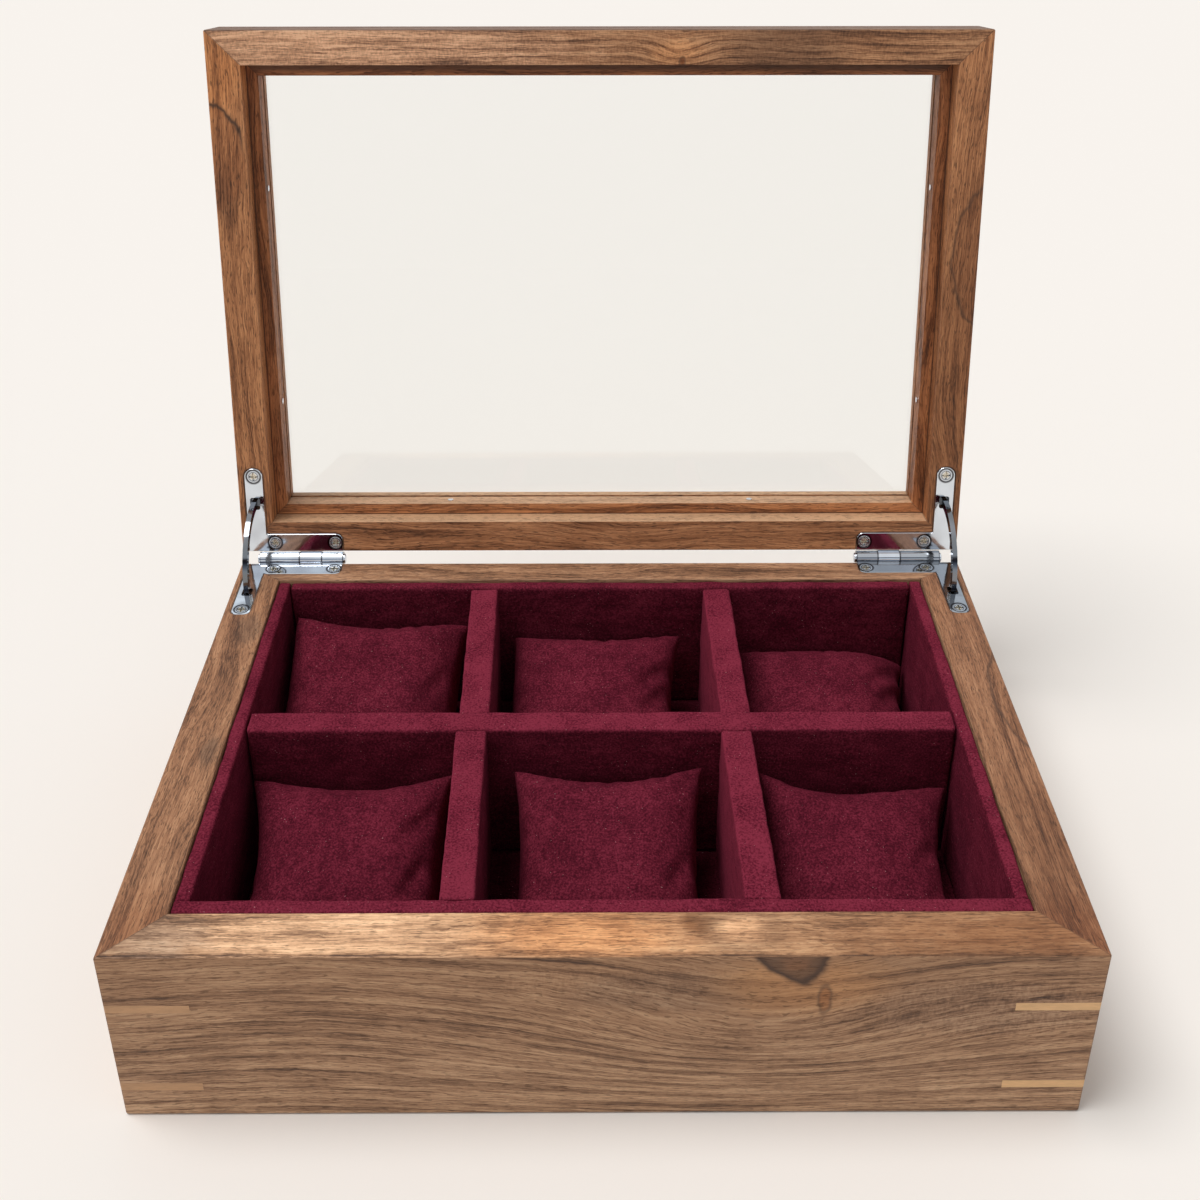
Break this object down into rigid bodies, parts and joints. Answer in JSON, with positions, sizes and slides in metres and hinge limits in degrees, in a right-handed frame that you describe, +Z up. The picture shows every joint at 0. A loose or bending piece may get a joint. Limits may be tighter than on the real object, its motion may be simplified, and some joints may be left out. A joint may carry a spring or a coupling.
{
  "type": "wooden watch box",
  "caption": "Wooden display box for wristwatches: lined compartments with loose pillows under a framed glass lid on quadrant hinges.",
  "frame": {"origin": "centre of the underside of the base", "axes": "+Z up, the front of the box faces -Y, +X to the right of someone who stands in front of it, lid open at rest"},
  "size_m": [0.305, 0.2821, 0.285],
  "materials": {
    "walnut": "oiled walnut, satin, open grain",
    "key_wood": "pale maple, satin",
    "panel_wood": "plain walnut veneer, matte",
    "lining_suede": "burgundy suede cloth, matte nap",
    "pillow_suede": "burgundy suede cloth, matte nap",
    "clear_glass": "clear polished glass",
    "polished_chrome": "polished chrome plate",
    "screw_metal": "plated countersunk screw, lightly turned",
    "pin_metal": "white metal, satin"
  },
  "bodies": {
    "base": {"front_wall": "walnut", "back_wall": "walnut", "left_wall": "walnut", "right_wall": "walnut", "bottom_panel": "panel_wood", "corner_keys_front_left": "key_wood", "corner_keys_front_right": "key_wood", "corner_keys_back_left": "key_wood", "corner_keys_back_right": "key_wood", "lining_front": "lining_suede", "lining_back": "lining_suede", "lining_left": "lining_suede", "lining_right": "lining_suede", "lining_floor": "lining_suede", "cross_divider": "lining_suede", "front_divider_left": "lining_suede", "front_divider_right": "lining_suede", "back_divider_left": "lining_suede", "back_divider_right": "lining_suede", "hinge_base_leaf_left": "polished_chrome", "hinge_base_leaf_right": "polished_chrome", "hinge_pin_left": "polished_chrome", "hinge_pin_right": "polished_chrome", "hinge_base_screws_left": "screw_metal", "hinge_base_screws_right": "screw_metal"},
    "lid": {"lid_rail_front": "walnut", "lid_rail_back": "walnut", "lid_rail_left": "walnut", "lid_rail_right": "walnut", "glass_bead_front": "walnut", "glass_bead_back": "walnut", "glass_bead_left": "walnut", "glass_bead_right": "walnut", "glass_pane": "clear_glass", "bead_pins": "pin_metal", "hinge_lid_leaf_left": "polished_chrome", "hinge_lid_leaf_right": "polished_chrome", "hinge_lid_screws_left": "screw_metal", "hinge_lid_screws_right": "screw_metal"},
    "strut_left": {"strut_left": "polished_chrome"},
    "strut_right": {"strut_right": "polished_chrome"},
    "pillow_front_left": {"pillow_front_left": "pillow_suede"},
    "pillow_front_middle": {"pillow_front_middle": "pillow_suede"},
    "pillow_front_right": {"pillow_front_right": "pillow_suede"},
    "pillow_back_left": {"pillow_back_left": "pillow_suede"},
    "pillow_back_middle": {"pillow_back_middle": "pillow_suede"},
    "pillow_back_right": {"pillow_back_right": "pillow_suede"}
  },
  "joints": [
    {"name": "lid_hinge", "type": "hinge", "parent": "base", "child": "lid", "pos_m": [0, 0.1113, 0.0692], "axis": [1, 0, 0], "range_deg": [0, 100]},
    {"name": "strut_left_slide", "type": "hinge", "parent": "base", "child": "strut_left", "pos_m": [0, 0.1113, 0.0692], "axis": [1, 0, 0], "range_deg": [0, 50]},
    {"name": "strut_right_slide", "type": "hinge", "parent": "base", "child": "strut_right", "pos_m": [0, 0.1113, 0.0692], "axis": [1, 0, 0], "range_deg": [0, 50]},
    {"name": "pillow_front_left_lift", "type": "slide", "parent": "base", "child": "pillow_front_left", "axis": [0, 0, -1], "range_m": [-0.062, 0]},
    {"name": "pillow_front_middle_lift", "type": "slide", "parent": "base", "child": "pillow_front_middle", "axis": [0, 0, -1], "range_m": [-0.062, 0]},
    {"name": "pillow_front_right_lift", "type": "slide", "parent": "base", "child": "pillow_front_right", "axis": [0, 0, -1], "range_m": [-0.062, 0]},
    {"name": "pillow_back_left_lift", "type": "slide", "parent": "base", "child": "pillow_back_left", "axis": [0, 0, -1], "range_m": [-0.062, 0]},
    {"name": "pillow_back_middle_lift", "type": "slide", "parent": "base", "child": "pillow_back_middle", "axis": [0, 0, -1], "range_m": [-0.062, 0]},
    {"name": "pillow_back_right_lift", "type": "slide", "parent": "base", "child": "pillow_back_right", "axis": [0, 0, -1], "range_m": [-0.062, 0]}
  ],
  "couplings": [
    {"joint": "strut_left_slide", "follows": "lid_hinge", "ratio": 0.5},
    {"joint": "strut_right_slide", "follows": "lid_hinge", "ratio": 0.5}
  ]
}
